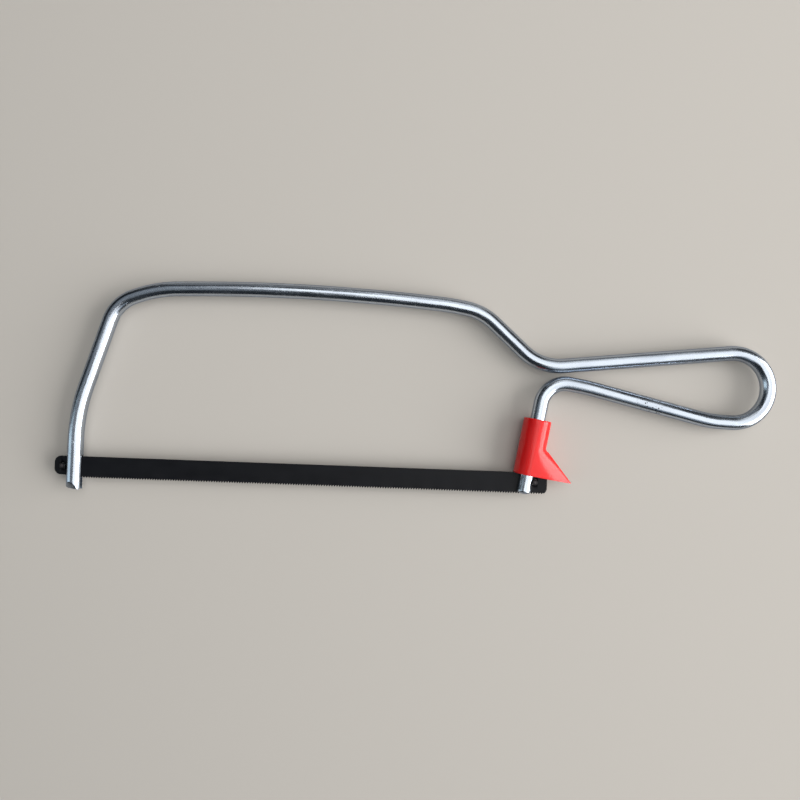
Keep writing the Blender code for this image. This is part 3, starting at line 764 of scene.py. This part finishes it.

# %% [markdown]
# The pins are blackened with the blade. The middle of each domed end is a dull grey: partly paint rubbed
# through, partly a painted highlight. The height above the blade's middle tells where an end is.

# %% Pin steel
PIN_BLACK, PIN_GREY_END_AND_HIGHLIGHT = (0.006, 0.006, 0.007), (0.075, 0.064, 0.066)
PIN_GRAIN_HEIGHT = 0.00001
PIN_GREY_END_FROM, PIN_GREY_END_TO = 1.17, 1.195
pin_finish, tree, shader = new_finish("pin_steel", Specular_IOR_Level=0.2)
place = add_node(tree, "TexCoord").node.outputs["Object"]
height = add_node(tree, "SeparateXYZ", {"Vector": place}).node.outputs["Z"]
above = add_node(tree, "Math", {0: height, 1: float(drawing_origin[2])}, operation="SUBTRACT")
above = add_node(tree, "Math", {0: above}, operation="ABSOLUTE")
# painted highlight, with some wear: the middle of each domed pin end turns grey
grey_end_highlight = remap(tree, above, PIN_GREY_END_FROM * MM, PIN_GREY_END_TO * MM)
grain = noise(tree, place, (3000, 3000, 3000), 4.0, 0.7)
worn_and_highlight = add_node(tree, "Math", {0: grey_end_highlight, 1: remap(tree, grain, 0.35, 0.6)}, operation="MULTIPLY")
color = blend_colors(tree, worn_and_highlight, PIN_BLACK, PIN_GREY_END_AND_HIGHLIGHT)
tree.links.new(color, shader.inputs["Base Color"])
tree.links.new(remap(tree, grain, 0.3, 0.7, 0.3, 0.55), shader.inputs["Roughness"])
tree.links.new(add_bump(tree, grain, PIN_GRAIN_HEIGHT), shader.inputs["Normal"])
for pin in pins.values():
    pin.data.materials.append(pin_finish)
print("pin steel:", len(tree.nodes), "nodes")

# %% [markdown]
# The guard is glossy red plastic. A little light enters it and comes out again further on, so it has some
# subsurface scatter, and the mould leaves a faint unevenness that softens its reflections.

# %% Red plastic
DEEP_RED, LIGHT_RED = (0.62, 0.008, 0.008), (0.7, 0.013, 0.012)
FLOW_HEIGHT, MOULD_GRAIN_HEIGHT = 0.00002, 0.0000015
red, tree, shader = new_finish("red_plastic", Subsurface_Weight=0.25, Subsurface_Scale=0.002,
                               Subsurface_Radius=(1.0, 0.12, 0.08), Specular_IOR_Level=0.38)
place = add_node(tree, "TexCoord").node.outputs["Object"]
cloud = noise(tree, place, (180, 180, 180), 3.0)
flow = noise(tree, place, (900, 160, 900), 2.0)
grain = noise(tree, place, (5000, 5000, 5000), 2.0)
color = blend_colors(tree, cloud, DEEP_RED, LIGHT_RED)
tree.links.new(color, shader.inputs["Base Color"])
tree.links.new(remap(tree, cloud, 0.3, 0.7, 0.16, 0.24), shader.inputs["Roughness"])
normal = add_bump(tree, flow, FLOW_HEIGHT)
tree.links.new(add_bump(tree, grain, MOULD_GRAIN_HEIGHT, normal), shader.inputs["Normal"])
guard.data.materials.clear()
guard.data.materials.append(red)
print("red plastic:", len(tree.nodes), "nodes")

# %% [markdown]
# ## Stage, light and camera
#
# The saw lies on a plain, matt, pale floor. Bright metal shows whatever is round it, so the light is built
# from large soft panels: a tall bright one on the right, like a window, level ones overhead, and dim cards on
# the left and on the near and far sides. Their reflections are the long bands on the rod, and the dark room
# between them gives the dark bands.

# %% Floor and world
FLOOR_HALF = 3.0
FLOOR_COLOR = (0.465, 0.436, 0.398, 1.0)
ROOM_COLOR, ROOM_BRIGHTNESS = (0.7, 0.85, 1.0, 1.0), 0.03
floor_mesh = bpy.data.meshes.new("floor")
floor_corners = np.array([(-1, -1, 0), (1, -1, 0), (1, 1, 0), (-1, 1, 0)]) * FLOOR_HALF
floor_mesh.from_pydata(floor_corners.tolist(), [], [[0, 1, 2, 3]])
floor = bpy.data.objects.new("floor", floor_mesh)
bpy.context.scene.collection.objects.link(floor)
floor_finish, _, _ = new_finish("pale_floor", Base_Color=FLOOR_COLOR, Roughness=0.8, Specular_IOR_Level=0.0)
floor_mesh.materials.append(floor_finish)

world = bpy.data.worlds.new("dim_room")
world.use_nodes = True
background = world.node_tree.nodes["Background"]
background.inputs["Color"].default_value = ROOM_COLOR
background.inputs["Strength"].default_value = ROOM_BRIGHTNESS
bpy.context.scene.world = world
print("floor", 2 * FLOOR_HALF, "m wide")

# %% [markdown]
# Each panel is an area light. Its power is its brightness times pi times its area, so panels of the same
# brightness look equally bright in the metal, whatever their sizes. The level ones hang side by side at one
# height, so that their reflections join into one band. The cards on the near and left sides are a little
# blue.


# %% Soft panels
CEILING = 0.6
NEAR_BLUE, LEFT_BLUE, WINDOW_BLUE = (0.75, 0.88, 1.0), (0.85, 0.92, 1.0), (0.78, 0.93, 1.0)


def add_panel(name, low, high, brightness, color=(1.0, 1.0, 1.0)):
    """A flat panel of soft light between two corners, in metres, with an even brightness.

    It is level and shines down, or it stands upright, square to x or to y, and shines towards the saw.
    """
    low, high = np.array(low), np.array(high)
    centre, size = (low + high) / 2, high - low
    across = int(np.argmin(size))
    facing = {0: (-centre[0], 0, 0), 1: (0, -centre[1], 0), 2: (0, 0, -1)}[across]
    lamp = bpy.data.lights.new(name, "AREA")
    lamp.shape = "RECTANGLE"
    lamp.size, lamp.size_y = {0: (size[1], size[2]), 1: (size[0], size[2]), 2: (size[0], size[1])}[across]
    lamp.color = color
    lamp.energy = brightness * math.pi * lamp.size * lamp.size_y
    panel = bpy.data.objects.new(name, lamp)
    panel.location = centre
    panel.rotation_euler = Vector(facing).to_track_quat("-Z", "Y").to_euler()
    panel.visible_camera = False
    bpy.context.scene.collection.objects.link(panel)
    print(f"{name}: {lamp.size:.2f} x {lamp.size_y:.2f} m, {lamp.energy:.1f} W")


add_panel("overhead_panel", (-0.05, -0.24, CEILING), (0.16, 0.4, CEILING), 1.85)
add_panel("far_panel", (-0.19, 0.0, CEILING), (-0.05, 0.36, CEILING), 1.85)
add_panel("right_panel", (0.16, -0.5, CEILING), (0.45, 0.45, CEILING), 1.55)
add_panel("right_end_panel", (0.45, -0.6, CEILING), (0.64, 0.25, CEILING), 1.3)
add_panel("north_panel", (-0.05, 0.45, CEILING), (0.45, 0.95, CEILING), 1.0)
add_panel("right_window", (1.9, -1.5, 0.14), (1.9, 0.9, 1.9), 7.3)
add_panel("near_panel", (0.1, -1.0, CEILING), (0.6, -0.5, CEILING), 0.35, NEAR_BLUE)
add_panel("left_panel", (-0.6, -0.3, CEILING), (-0.19, 0.4, CEILING), 0.25, LEFT_BLUE)
add_panel("left_window", (-1.2, -0.5, 0.05), (-1.2, -0.04, 1.35), 1.3, WINDOW_BLUE)
add_panel("far_wall", (-0.6, 1.0, 0.02), (0.6, 1.0, 0.8), 0.2)

# %% [markdown]
# The photograph looks straight down from close by, with a wide phone lens. The camera stands over the same
# spot of the drawing, turned by the two degrees that the blade slopes in the picture. The teeth are only two
# and a half pixels apart there, so the denoiser takes its guide pictures as they are: filtered ones would
# smear the teeth away.

# %% Camera
CAMERA_OVER = np.array([103.625, 23.994, 193.2])
CAMERA_TURN = math.radians(2.07)
LENS, SENSOR_WIDTH, NEAREST = 28.0, 36.0, 0.01
lens = bpy.data.cameras.new("camera")
lens.lens, lens.sensor_width, lens.clip_start = LENS, SENSOR_WIDTH, NEAREST
camera = bpy.data.objects.new("camera", lens)
camera.location = drawing_origin + CAMERA_OVER * MM
camera.rotation_euler = (0.0, 0.0, CAMERA_TURN)
bpy.context.scene.collection.objects.link(camera)
bpy.context.scene.camera = camera
bpy.context.scene.view_settings.view_transform = "Standard"
bpy.context.scene.cycles.denoising_prefilter = "NONE"
print("camera", np.round(camera.location, 4))
